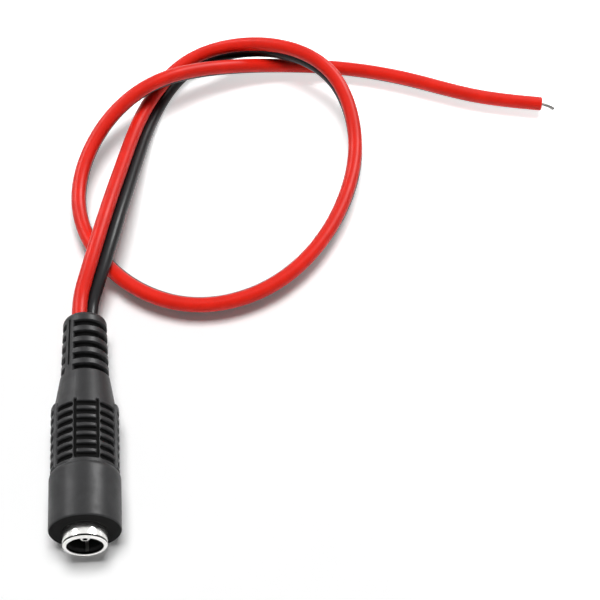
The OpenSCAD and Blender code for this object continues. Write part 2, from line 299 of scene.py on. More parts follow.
class Recipe:
    """A named tree with named inputs: a geometry tree or a shader group."""

    KINDS: ClassVar[dict[type, str]] = {
        float: "NodeSocketFloat",
        int: "NodeSocketInt",
        Vector: "NodeSocketVector",
        bpy.types.Material: "NodeSocketMaterial",
        bpy.types.Mesh: "NodeSocketGeometry",
    }

    def __init__(self, name: str, kind: Tree, inputs: dict[str, type], outputs: dict[str, type]) -> None:
        """Makes the tree and its interface.

        Args:
            name: The tree's name.
            kind: The tree's kind.
            inputs: Type of each input by name.
            outputs: Type of each output by name.
        """
        self.tree = bpy.data.node_groups.new(name, kind.value)
        self.sockets = {n: self.new_socket(n, t, "INPUT") for n, t in inputs.items()}
        for n, t in outputs.items():
            self.new_socket(n, t, "OUTPUT")
        self.graph = Graph(self.tree)
        self.source = self.graph.node("NodeGroupInput")
        self.sink = self.graph.node("NodeGroupOutput")

    @classmethod
    def shape(cls, name: str, inputs: dict[str, type]) -> "Recipe":
        """Returns a geometry tree for a piece, with inputs besides its geometry and its material."""
        mesh = {"Geometry": bpy.types.Mesh}
        return cls(name, Tree.GEOMETRY, {**mesh, **inputs, "Material": bpy.types.Material}, mesh)

    def new_socket(self, name: str, kind: type, way: str) -> bpy.types.NodeTreeInterfaceSocket:
        """Returns a new socket of the interface, which is an input or an output as way says."""
        return self.tree.interface.new_socket(name, in_out=way, socket_type=self.KINDS[kind])

    def __getitem__(self, name: str) -> Field:
        """Returns an input by name."""
        return Field(self.graph, self.source.outputs[name])

    def give(self, **outputs: Value) -> None:
        """Links each output to its value."""
        for name, value in outputs.items():
            self.graph.feed(self.sink.inputs[name], value)

    def close(self, geometry: Value) -> None:
        """Ends a geometry tree: smooth faces, no instances left, and the material set.

        Args:
            geometry: The geometry to end with.
        """
        smooth = self.graph.node("GeometryNodeSetShadeSmooth", {"Geometry": geometry, "Shade Smooth": True})
        real = self.graph.node("GeometryNodeRealizeInstances", {"Geometry": smooth.outputs[0]})
        values = {"Geometry": real.outputs[0], "Material": self["Material"]}
        self.give(Geometry=self.graph.node("GeometryNodeSetMaterial", values).outputs[0])

    def apply(self, piece: bpy.types.Object, values: dict[str, Value]) -> None:
        """Runs a geometry tree on a piece and keeps the result as its mesh.

        Args:
            piece: The piece, whose mesh goes in.
            values: Value of each input by name.
        """
        modifier = piece.modifiers.new(self.tree.name, "NODES")
        modifier.node_group = self.tree
        for name, value in values.items():
            modifier[self.sockets[name].identifier] = value
        graph = bpy.context.evaluated_depsgraph_get()
        shaped = piece.evaluated_get(graph)
        made = bpy.data.meshes.new_from_object(shaped, preserve_all_data_layers=True, depsgraph=graph)
        piece.modifiers.remove(modifier)
        old, piece.data = piece.data, made
        made.name = piece.name
        bpy.data.meshes.remove(old)


# Mesh tools


def new_piece(
    name: str,
    points: Sequence[Sequence[float]],
    edges: Sequence[Sequence[int]] = (),
    faces: Sequence[Sequence[int]] = (),
) -> bpy.types.Object:
    """Makes an object at the origin.

    Args:
        name: Its name.
        points: Its points in millimetres.
        edges: Pairs of point numbers.
        faces: Rings of point numbers.

    Returns:
        The object, linked to the scene.
    """
    mesh = bpy.data.meshes.new(name)
    mesh.from_pydata((np.asarray(points) * MM).tolist(), list(edges), list(faces))
    mesh.update()
    piece = bpy.data.objects.new(name, mesh)
    bpy.context.scene.collection.objects.link(piece)
    return piece


def lathe(name: str, profile: Sequence[Pair], angles: np.ndarray, ring: bool) -> bpy.types.Object:
    """Turns a profile about the socket's axis.

    Args:
        name: The piece's name.
        profile: Points as (distance along Y, radius), with the material on the right of their way.
        angles: Angles of the turned lines from the top, in radians.
        ring: Whether the profile closes on itself. Otherwise it starts and ends on the axis.

    Returns:
        The piece.
    """
    rows = list(profile) if ring else list(profile[1:-1])
    count = len(angles)
    along, radius = np.array(rows).T
    x, z = np.outer(radius, np.sin(angles)), np.outer(radius, np.cos(angles))
    grid = np.stack([x, np.repeat(along[:, None], count, axis=1), z], axis=-1).reshape(-1, 3)
    faces = []
    for i in range(len(rows) if ring else len(rows) - 1):
        here, there = i * count, (i + 1) % len(rows) * count
        for j in range(count):
            k = (j + 1) % count
            faces.append((here + j, here + k, there + k, there + j))
    if not ring:
        first, last = len(grid), len(grid) + 1
        grid = np.vstack([grid, [(0, profile[0][0], 0), (0, profile[-1][0], 0)]])
        end = (len(rows) - 1) * count
        faces += [(first, (j + 1) % count, j) for j in range(count)]
        faces += [(last, end + j, end + (j + 1) % count) for j in range(count)]
    return new_piece(name, grid, faces=faces)


def arc(middle: Pair, size: Pair, start: float, end: float, steps: int) -> list[Pair]:
    """Gives the points of an arc of a profile.

    Args:
        middle: Middle of the arc, as (distance along Y, radius).
        size: Its half width along Y and across.
        start: First angle in degrees, from outwards (0) towards +Y (90).
        end: Last angle in degrees.
        steps: How many steps it has.

    Returns:
        The points, both ends included.
    """
    turn = np.radians(np.linspace(start, end, steps + 1))
    return [(middle[0] + size[0] * math.sin(a), middle[1] + size[1] * math.cos(a)) for a in turn]


def spaced(values: Iterable[float], gap: float) -> list[float]:
    """Sorts values and leaves out those too close to the one before.

    Args:
        values: The values.
        gap: The distance that they have to exceed.

    Returns:
        The values that are kept, in order.
    """
    found = sorted(values)
    kept = found[:1]
    for value in found[1:]:
        if value - kept[-1] > gap:
            kept.append(value)
    return kept


def settle(piece: bpy.types.Object, slot: Slot, sharp: float | None, *nodes: str) -> None:
    """Puts a finished piece on the part.

    Args:
        piece: The piece.
        slot: The record's material slot for it; not used.
        sharp: Angle in degrees from which its edges are sharp, or None to leave all smooth.
        *nodes: The nodes that it stands for.
    """
    if sharp is not None:
        piece.data.set_sharp_from_angle(angle=math.radians(sharp))
    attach(piece, "root")
    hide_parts(*nodes)
    triangles = sum(len(p.vertices) - 2 for p in piece.data.polygons)
    log.info("%s: %d triangles, stands for %s", piece.name, triangles, ", ".join(nodes))


# Finishes

WHITE = (1.0, 1.0, 1.0)
MATT = 0.95
# part of a noise's range that is stretched to the full one
TONE_SPAN = (0.36, 0.64)
CLOUD_SPAN = (0.35, 0.65)
HAZE_SPAN = (0.38, 0.68)
# share of the slower noise in a mixture of two
CLOUD_IN_TONE = 0.7
CLOUD_IN_GLOSS = 0.6
SPOTS_IN_HAZE = 0.75
# stretches the scratches of a turned piece around the Y axis
TURNED = (0.03, 1.0, 0.03)


def opaque(colour: Colour) -> tuple[float, ...]:
    """Returns a colour with full alpha."""
    return (*colour, 1.0)


def skin_group() -> bpy.types.NodeTree:
    """Makes the shared group for moulded and extruded plastic.

    Returns:
        A shader group with a fine skin and slow changes of tone, both in object space.
    """
    recipe = Recipe(
        "Plastic Skin",
        Tree.SHADER,
        {"Grain Scale": float, "Cloud Scale": float, "Grain Depth": float},
        {"Tone": float, "Gloss": float, "Normal": Vector},
    )
    graph = recipe.graph
    place = graph.object_place()
    grain = graph.noise(place, recipe["Grain Scale"], detail=3.0, rough=0.6)
    cloud = graph.noise(place, recipe["Cloud Scale"], detail=2.0, rough=0.5)
    recipe.give(
        Tone=cloud * CLOUD_IN_TONE + grain * (1 - CLOUD_IN_TONE),
        Gloss=graph.ramp(cloud, CLOUD_SPAN) * CLOUD_IN_GLOSS + grain * (1 - CLOUD_IN_GLOSS),
        Normal=graph.bump(grain, recipe["Grain Depth"]),
    )
    return recipe.tree


def plate_group() -> bpy.types.NodeTree:
    """Makes the shared group for plated and tinned metal.

    Returns:
        A shader group with a faint haze and fine scratches around the Y axis, in object space.
    """
    recipe = Recipe(
        "Plated Surface",
        Tree.SHADER,
        {"Haze Scale": float, "Line Scale": float, "Line Depth": float},
        {"Haze": float, "Normal": Vector},
    )
    graph = recipe.graph
    place = graph.object_place()
    stretched = graph.node("ShaderNodeMapping", {"Vector": place, "Scale": TURNED}).outputs[0]
    spots = graph.noise(place, recipe["Haze Scale"], detail=4.0, rough=0.65)
    lines = graph.noise(stretched, recipe["Line Scale"], detail=2.0, rough=0.5)
    recipe.give(
        Haze=graph.ramp(spots, HAZE_SPAN) * SPOTS_IN_HAZE + lines * (1 - SPOTS_IN_HAZE),
        Normal=graph.bump(lines, recipe["Line Depth"]),
    )
    return recipe.tree


@dataclass(frozen=True, kw_only=True)
class Finish:
    """What every finish has: its slot, its lowest and highest roughness, and the dark colour painted as shade
    where the mesh is marked.
    """

    slot: Slot
    rough: Pair
    # dark colour painted as shade where the mesh is marked, or None
    recess: Colour | None = None

    def start(self) -> tuple[bpy.types.Material, Graph, bpy.types.Node]:
        """Makes the bare material.

        Returns:
            The material, its graph and its shader.
        """
        made = bpy.data.materials.new(self.slot.value)
        made.use_nodes = True
        return made, Graph(made.node_tree), made.node_tree.nodes["Principled BSDF"]

    def end(self, graph: Graph, shader: bpy.types.Node, colour: Value, rough: Field, normal: Value) -> None:
        """Paints shade where the mesh is marked, as a dark matt colour, and links the shader.

        Args:
            graph: The material's graph.
            shader: Its shader.
            colour: The colour outside the recesses.
            rough: The roughness there.
            normal: The normal.
        """
        # painted shade: marked points take the dark colour and turn matt
        if self.recess is not None:
            deep = graph.mark(Mark.RECESS)
            colour = graph.mix(deep, colour, opaque(self.recess))
            rough = rough.towards(MATT, deep)
        for name, value in (("Base Color", colour), ("Roughness", rough), ("Normal", normal)):
            graph.feed(shader.inputs[name], value)


@dataclass(frozen=True, kw_only=True)
class Plastic(Finish):
    """A moulded or extruded plastic, with scales per metre and a depth in metres."""

    colour: Colour
    spread: float
    grain: float
    cloud: float
    depth: float
    specular: float = 0.2
    # lighter colour painted as a highlight along eased edges, or None
    edge_highlight: Colour | None = None

    def material(self, skin: bpy.types.NodeTree) -> bpy.types.Material:
        """Makes the material.

        Args:
            skin: The shared plastic group.

        Returns:
            The material.
        """
        made, graph, shader = self.start()
        shader.inputs["Specular IOR Level"].default_value = self.specular
        values = {"Grain Scale": self.grain, "Cloud Scale": self.cloud, "Grain Depth": self.depth}
        group = graph.node("ShaderNodeGroup", values, node_tree=skin).outputs
        dark, light = (tuple(c * (1 + s) for c in self.colour) for s in (-self.spread, self.spread))
        colour = graph.mix(graph.ramp(group["Tone"], TONE_SPAN), opaque(dark), opaque(light))
        # painted highlight: eased edges lighter where the gloss noise is high
        if self.edge_highlight is not None:
            colour = graph.mix(graph.mark(Mark.EDGE) * group["Gloss"], colour, opaque(self.edge_highlight))
        low, high = self.rough
        rough = graph.ramp(group["Gloss"], (0.0, 1.0), (high, low), smooth=False)
        self.end(graph, shader, colour, rough, group["Normal"])
        return made


@dataclass(frozen=True, kw_only=True)
class Metal(Finish):
    """A plated or tinned metal, with scales per metre and a depth in metres."""

    bright: Colour
    dull: Colour
    haze: float
    lines: float
    depth: float

    def material(self, plate: bpy.types.NodeTree) -> bpy.types.Material:
        """Makes the material.

        Args:
            plate: The shared metal group.

        Returns:
            The material.
        """
        made, graph, shader = self.start()
        shader.inputs["Metallic"].default_value = 1.0
        values = {"Haze Scale": self.haze, "Line Scale": self.lines, "Line Depth": self.depth}
        group = graph.node("ShaderNodeGroup", values, node_tree=plate).outputs
        colour = graph.mix(group["Haze"], opaque(self.bright), opaque(self.dull))
        rough = graph.ramp(group["Haze"], (0.0, 1.0), self.rough, smooth=False)
        self.end(graph, shader, colour, rough, group["Normal"])
        return made


PLASTICS = (
    Plastic(
        # painted highlight on the eased edges, and near-black painted shade in the slots, grooves, rings and
        # on the front face
        slot=Slot.HOUSING, colour=(0.027, 0.027, 0.028), spread=0.14, rough=(0.34, 0.46),
        grain=5200.0, cloud=420.0, depth=1.6e-5, edge_highlight=(0.10, 0.10, 0.102), recess=(0.004, 0.004, 0.004),
    ),
    Plastic(
        slot=Slot.CORE, colour=(0.008, 0.008, 0.008), spread=0.2, rough=(0.5, 0.62),
        grain=4000.0, cloud=600.0, depth=1.0e-5,
    ),
    Plastic(
        slot=Slot.RED, colour=(0.79, 0.018, 0.008), spread=0.07, rough=(0.34, 0.46),
        grain=2600.0, cloud=180.0, depth=0.8e-5,
    ),
    Plastic(
        slot=Slot.BLACK, colour=(0.010, 0.010, 0.011), spread=0.12, rough=(0.28, 0.4),
        grain=2600.0, cloud=180.0, depth=0.8e-5,
    ),
)
METALS = (
    Metal(
        # near-black painted shade in the ferrule's crease, a painted dark reflection on its throat, and
        # painted shade in the pin's hollow
        slot=Slot.NICKEL, bright=(0.90, 0.89, 0.87), dull=(0.80, 0.79, 0.77), rough=(0.15, 0.25),
        haze=700.0, lines=9000.0, depth=1.0e-6, recess=(0.004, 0.004, 0.004),
    ),
    Metal(
        # colours darkened well below real bronze: painted shade on the leaf deep in the bore
        slot=Slot.SPRING, bright=(0.29, 0.285, 0.275), dull=(0.19, 0.186, 0.18), rough=(0.38, 0.54),
        haze=900.0, lines=4000.0, depth=2.0e-6,
    ),
    Metal(
        # colours darkened below real tinned copper: painted shade on the bare ends
        slot=Slot.TINNED, bright=(0.24, 0.236, 0.225), dull=(0.11, 0.107, 0.10), rough=(0.32, 0.5),
        haze=1800.0, lines=3000.0, depth=4.0e-6,
    ),
)


# The moulding


def slot_row_group() -> bpy.types.NodeTree:
    """Makes the group that finds a row of slots along the Y axis.

    Returns:
        A geometry group that gives 1 inside any slot of the row and 0 outside.
    """
    names = ("Across", "First", "Pitch", "Count", "Length", "Width", "Roundness", "Softness")
    recipe = Recipe("Slot Row", Tree.GEOMETRY, {n: float for n in names}, {"Mask": float})
    along = recipe.graph.axes()[1]
    step = ((along - recipe["First"]) / recipe["Pitch"]).nearest()
    step = step.most(0.0).least(recipe["Count"] - 1.0)
    offset = abs(along - recipe["First"] - step * recipe["Pitch"])
    half = recipe["Width"] * 0.5
    reach = abs(recipe["Across"])
    beyond = (reach - (recipe["Length"] - recipe["Width"]) * 0.5).most(0.0)
    rounded = (beyond * beyond + offset * offset).root() - half
    square = (reach - recipe["Length"] * 0.5).most(offset - half)
    recipe.give(Mask=square.towards(rounded, recipe["Roundness"]).inside(recipe["Softness"]))
    return recipe.tree


@dataclass(frozen=True)
class SlotRow:
    """A kind of slot column on the grip: length of a slot, radius of its floor, and its ends."""

    length: float
    floor: float
    ends: Ends


@dataclass
class Moulding:
    """The overmould: collar, ribbed grip with side pads, tapered neck and slotted strain relief."""

    # pocket for the socket
    shell_r: float = 3.45
    shell_end: float = 10.4
    flange_r: float = 4.2
    core_end: float = 11.6
    pocket_ring: float = 2.0
    pocket_bevel: Pair = (0.1, 0.06)
    # collar
    front: float = 2.4
    face_rings: Pair = (3.9, 4.6)
    collar_r: float = 5.6
    collar_gaps: Pair = (0.15, 0.1)
    edge_round: float = 0.3
    shoulder: float = 1.0
    # grip and its slots
    grip_y: float = 12.0
    grip_r: float = 5.1
    slot_first: float = 13.1
    slot_pitch: float = 1.54
    slot_n: int = 7
    slot_w: float = 0.85
    top: SlotRow = SlotRow(3.7, 4.45, Ends.SQUARE)
    side: SlotRow = SlotRow(3.4, 4.45, Ends.ROUND)
    pad: SlotRow = SlotRow(4.0, 4.75, Ends.ROUND)
    side_turn: float = 44.0
    roll: float = 9.0
    # raised side pads
    pad_r: float = 5.4
    pad_half: float = 25.0
    pad_y: Pair = (12.1, 24.0)
    pad_bevel: float = 0.3
    # grooves beside the top and bottom columns
    groove_turn: float = 21.0
    groove_w: float = 0.45
    groove_floor: float = 4.6
    groove_y: Pair = (12.89, 23.3)
    # neck, and strain relief with its rails and parting lines
    neck_y: float = 22.7
    relief_y: float = 30.5
    relief_r: Pair = (3.87, 3.59)
    relief_first: float = 30.025
    relief_pitch: float = 2.15
    relief_n: int = 5
    relief_w: float = 1.05
    relief_floor: float = 2.8
    ring_length: float = 1000.0
    rail_half: float = 13.0
    seam_half: float = 3.0
    seam_deep: float = 0.2
    seam_y: Pair = (30.9, 39.7)
    pair_turn: float = -38.0
    exit_y: float = 41.1
    end_round: float = 1.0
    end_ring: float = 0.6
    # eased edges, and the painted shade in the cuts and on the front face
    soft: float = 0.1
    dark_span: Pair = (0.12, 0.6)
    face_dark: float = 0.85
    # rows of points about a slot's wall and about another edge, in eased half widths
    slot_rows: tuple[float, ...] = (-1.8, -1.0, -0.6, -0.2, 0.2, 0.6, 1.0)
    edge_rows: tuple[float, ...] = (-1.0, -0.3, 0.3, 1.0)
    # other rows: gaps before and after those of the neck, their step, gaps at both ends, and the least step
    neck_gaps: Pair = (0.5, 1.0)
    neck_step: float = 0.7
    row_ends: Pair = (0.04, 0.1)
    row_gap: float = 0.012
    # lines of points about an edge and in a slot's round end, in degrees
    edge_lines: tuple[float, ...] = (-0.9, -0.5, -0.17, 0.17, 0.5, 0.9)
    end_lines: tuple[float, ...] = (-3.6, -2.8, -2.1, -1.5)
    rail_spread: float = 1.2
    line_step: float = 3.0
    line_gap: float = 0.2
    # steps of the small and the large rounded edges, and rows of the collar
    edge_steps: int = 8
    round_steps: int = 14
    collar_n: int = 12

    def rows(self) -> list[float]:
        """Gives the places along the axis that need a row of points.

        Returns:
            Distances along Y from the collar's shoulder to the rounded end, in order.
        """
        found: list[float] = []
        for first, pitch, count, width in (
            (self.slot_first, self.slot_pitch, self.slot_n, self.slot_w),
            (self.relief_first, self.relief_pitch, self.relief_n, self.relief_w),
        ):
            for i in range(count):
                middle = first + i * pitch
                found += [middle, middle - width / 4, middle + width / 4, middle + pitch / 2]
                found += [middle + s * (width / 2 - self.soft * e) for s in (-1, 1) for e in self.slot_rows]
        front, back = self.pad_y
        bevels = (front + self.pad_bevel, back - self.pad_bevel)
        for place in (*self.groove_y, *self.seam_y, *self.pad_y, *bevels):
            found += [place + self.soft * e for e in self.edge_rows]
        found += list(np.arange(back + self.neck_gaps[0], self.relief_y - self.neck_gaps[1], self.neck_step))
        low, high = self.grip_y + self.row_ends[0], self.exit_y - self.end_round - self.row_ends[1]
        return spaced((y for y in found if low < y < high), self.row_gap)

    def radius(self, y: float) -> float:
        """Returns the radius of the grip, the neck and the strain relief at y, before anything is cut."""
        places = (self.grip_y, self.neck_y, self.relief_y, self.exit_y - self.end_round)
        return float(np.interp(y, places, (self.grip_r, self.grip_r, *self.relief_r)))

    def profile(self) -> list[Pair]:
        """Gives the outline from the pocket's floor, out through the front face and back to the cable exit.

        Returns:
            Points as (distance along Y, radius), on the axis at both ends.
        """
        inward, outward = self.pocket_bevel
        after, before = self.collar_gaps
        edge = self.front + self.edge_round
        face = self.collar_r - self.edge_round
        outline = [(self.core_end, r) for r in (0.0, self.pocket_ring, self.flange_r)]
        outline += [(self.shell_end, r) for r in (self.flange_r, self.shell_r)]
        outline += [(self.front + inward, self.shell_r), (self.front, self.shell_r + outward)]
        outline += [(self.front, r) for r in (*self.face_rings, face - before)]
        outline += arc((edge, face), (self.edge_round, self.edge_round), -90, 0, self.edge_steps)
        back = self.grip_y - self.shoulder
        outline += [(y, self.collar_r) for y in np.linspace(edge + after, back - before, self.collar_n)]
        slope = (self.shoulder, self.collar_r - self.grip_r)
        outline += arc((back, self.grip_r), slope, 0, 90, self.round_steps)
        outline += [(y, self.radius(y)) for y in self.rows()]
        tip = self.relief_r[1] - self.end_round
        corner = (self.exit_y - self.end_round, tip)
        outline += arc(corner, (self.end_round, self.end_round), 0, 90, self.round_steps)
        return outline + [(self.exit_y, tip * self.end_ring), (self.exit_y, 0.0)]

    @staticmethod
    def half_turn(width: float, radius: float) -> float:
        """Returns half the angle, in degrees, that a width takes up at a radius."""
        return math.degrees(math.asin(width / 2 / radius))

    def lines(self) -> np.ndarray:
        """Gives the angles that need a line of points, close together where a slot, groove, pad or rail ends.

        Returns:
            Angles from the top in radians, in order.
        """
        groove = self.half_turn(self.groove_w, self.grip_r)
        side = self.half_turn(self.side.length, self.grip_r)
        pad = self.half_turn(self.pad.length, self.pad_r)
        ends = (*self.edge_lines, *self.end_lines)
        found = list(np.arange(0.0, 360.0, self.line_step))
        for middle in (0.0, 180.0):
            top = middle + self.roll
            for s in (-1, 1):
                for w in (-1, 1):
                    found += [top + s * self.groove_turn + w * groove + e for e in self.edge_lines]
                    found += [top + s * self.side_turn + w * (side + e) for e in ends]
                found += [top + 90 + s * (pad + e) for e in ends]
                found += [top + 90 + s * (self.pad_half + e) for e in self.edge_lines]
                for half in (self.rail_half, self.seam_half):
                    spread = [half + self.rail_spread * e for e in self.edge_lines]
                    found += [middle + self.pair_turn + s * a for a in spread]
        return np.radians(spaced((a % 360 for a in found), self.line_gap))

    def sizes(self) -> dict[str, float]:
        """Gives the values of the recipe's inputs.

        Returns:
            Lengths in metres, angles in radians and counts, by name.
        """
        lengths = {
            "Face": self.front + self.edge_round / 2,
            "Face Radius": self.collar_r - self.edge_round / 2,
            "Grip Radius": self.grip_r,
            "Slot First": self.slot_first,
            "Slot Pitch": self.slot_pitch,
            "Slot Width": self.slot_w,
            "Top Length": self.top.length,
            "Top Floor": self.top.floor,
            "Side Length": self.side.length,
            "Side Floor": self.side.floor,
            "Pad Length": self.pad.length,
            "Pad Floor": self.pad.floor,
            "Pad Radius": self.pad_r,
            "Pad Front": self.pad_y[0],
            "Pad Back": self.pad_y[1],
            "Pad Bevel": self.pad_bevel,
            "Groove Width": self.groove_w,
            "Groove Floor": self.groove_floor,
            "Groove Front": self.groove_y[0],
            "Groove Back": self.groove_y[1],
            "Relief First": self.relief_first,
            "Relief Pitch": self.relief_pitch,
            "Relief Width": self.relief_w,
            "Relief Floor": self.relief_floor,
            "Seam Depth": self.seam_deep,
            "Seam Front": self.seam_y[0],
            "Seam Back": self.seam_y[1],
            "Softness": self.soft,
        }
        angles = {
            "Roll": self.roll,
            "Side Turn": self.side_turn,
            "Pad Half Angle": self.pad_half,
            "Groove Turn": self.groove_turn,
            "Rail Turn": self.pair_turn,
            "Rail Half Angle": self.rail_half,
            "Seam Half Angle": self.seam_half,
        }
        counts = {"Slot Count": self.slot_n, "Relief Count": self.relief_n}
        return {
            **{n: length * MM for n, length in lengths.items()},
            **{n: math.radians(angle) for n, angle in angles.items()},
            **{n: float(count) for n, count in counts.items()},
        }

    @staticmethod
    def slots(
        recipe: Recipe, row: bpy.types.NodeTree, kind: str, across: Value, length: Value, ends: Ends
    ) -> Field:
        """Adds a row of slots.

        Args:
            recipe: The recipe that they go into.
            row: The group that finds them.
            kind: First word of the inputs that say where they are.
            across: Distance from the row's middle line.
            length: Length of a slot.
            ends: How it ends.

        Returns:
            1 inside the slots, 0 outside.
        """
        values = {n: recipe[f"{kind} {n}"] for n in ("First", "Pitch", "Count", "Width")}
        values |= {"Across": across, "Length": length, "Roundness": ends.value}
        values["Softness"] = recipe["Softness"]
        made = recipe.graph.node("GeometryNodeGroup", values, node_tree=row)
        return Field(recipe.graph, made.outputs["Mask"])

    def recipe(self) -> Recipe:
        """Makes the tree that moulds the pads, slots, grooves and relief rings into a plain turned body.

        Returns:
            A geometry tree with the named sizes as inputs.
        """
        recipe = Recipe.shape("Moulded Relief", {n: float for n in self.sizes()})
        graph, soft, grip = recipe.graph, recipe["Softness"], recipe["Grip Radius"]
        row = slot_row_group()
        x, y, z = graph.axes()
        turn = graph.math("ARCTAN2", x, z)
        plain = (x * x + z * z).root().most(LEAST_RADIUS)
        from_top = (turn - recipe["Roll"]).folded()
        from_pad = (turn - recipe["Roll"] - math.pi / 2).folded()
        from_side = abs(from_top) - recipe["Side Turn"]
        from_groove = abs(from_top) - recipe["Groove Turn"]
        from_rail = (turn - recipe["Rail Turn"]).folded()

        # side pads stand proud, with bevelled ends
        past = (recipe["Pad Front"] - y).most(y - recipe["Pad Back"])
        on_pad = ((abs(from_pad) - recipe["Pad Half Angle"]) * grip).most(past).inside(soft)
        crown = recipe["Pad Radius"] - (past + recipe["Pad Bevel"]).most(0.0)
        body = plain + (crown - plain).most(0.0) * on_pad

        # each cut is a mask and the radius of its floor
        cuts = []
        for name, turned, radius, ends in (
            ("Top", from_top, grip, self.top.ends),
            ("Side", from_side, grip, self.side.ends),
            ("Pad", from_pad, recipe["Pad Radius"], self.pad.ends),
        ):
            slots = self.slots(recipe, row, "Slot", turned.sine() * radius, recipe[f"{name} Length"], ends)
            cuts.append((slots, recipe[f"{name} Floor"] / turned.cosine()))
        past = (recipe["Groove Front"] - y).most(y - recipe["Groove Back"])
        in_groove = (abs(from_groove.sine() * grip) - recipe["Groove Width"] * 0.5).most(past).inside(soft)
        cuts.append((in_groove, recipe["Groove Floor"] / from_groove.cosine()))
        rings = self.slots(recipe, row, "Relief", 0.0, self.ring_length * MM, Ends.SQUARE)
        off_rail = ((recipe["Rail Half Angle"] - abs(from_rail)) * plain).inside(soft)
        cuts.append((rings * off_rail, recipe["Relief Floor"]))
        past = (recipe["Seam Front"] - y).most(y - recipe["Seam Back"])
        on_seam = ((abs(from_rail) - recipe["Seam Half Angle"]) * plain).most(past).inside(soft)
        cuts.append((on_seam, plain - recipe["Seam Depth"]))

        # painted shade: the front face and every cut are marked to be darkened by the finish
        face = (y - recipe["Face"]).inside(soft) * (plain - recipe["Face Radius"]).inside(soft)
        result, edge, recess = body, on_pad.border(), face * self.face_dark
        for share, floor in cuts:
            result = result.least(body.towards(body.least(floor), share))
            edge = edge.most(share.border())
            recess = recess.most(share)
        size = result / plain
        # the marks are stored for the finish: eased edges for a painted highlight, cuts and face for painted
        # shade
        marked: Value = recipe["Geometry"]
        for mark, value in ((Mark.EDGE, edge), (Mark.RECESS, graph.ramp(recess, self.dark_span))):
            values = {"Geometry": marked, "Name": mark.value, "Value": value}
            stored = graph.node("GeometryNodeStoreNamedAttribute", values, data_type="FLOAT", domain="POINT")
            marked = stored.outputs[0]
        recipe.close(graph.moved(marked, graph.point(x * size, y, z * size)))
        return recipe

    def build(self, material: bpy.types.Material) -> None:
        """Builds and dresses the moulding.

        Args:
            material: Its plastic.
        """
        piece = lathe("Moulding", self.profile(), self.lines(), ring=False)
        self.recipe().apply(piece, {**self.sizes(), "Material": material})
        settle(piece, Slot.HOUSING, None, "moulded_housing")


# The socket


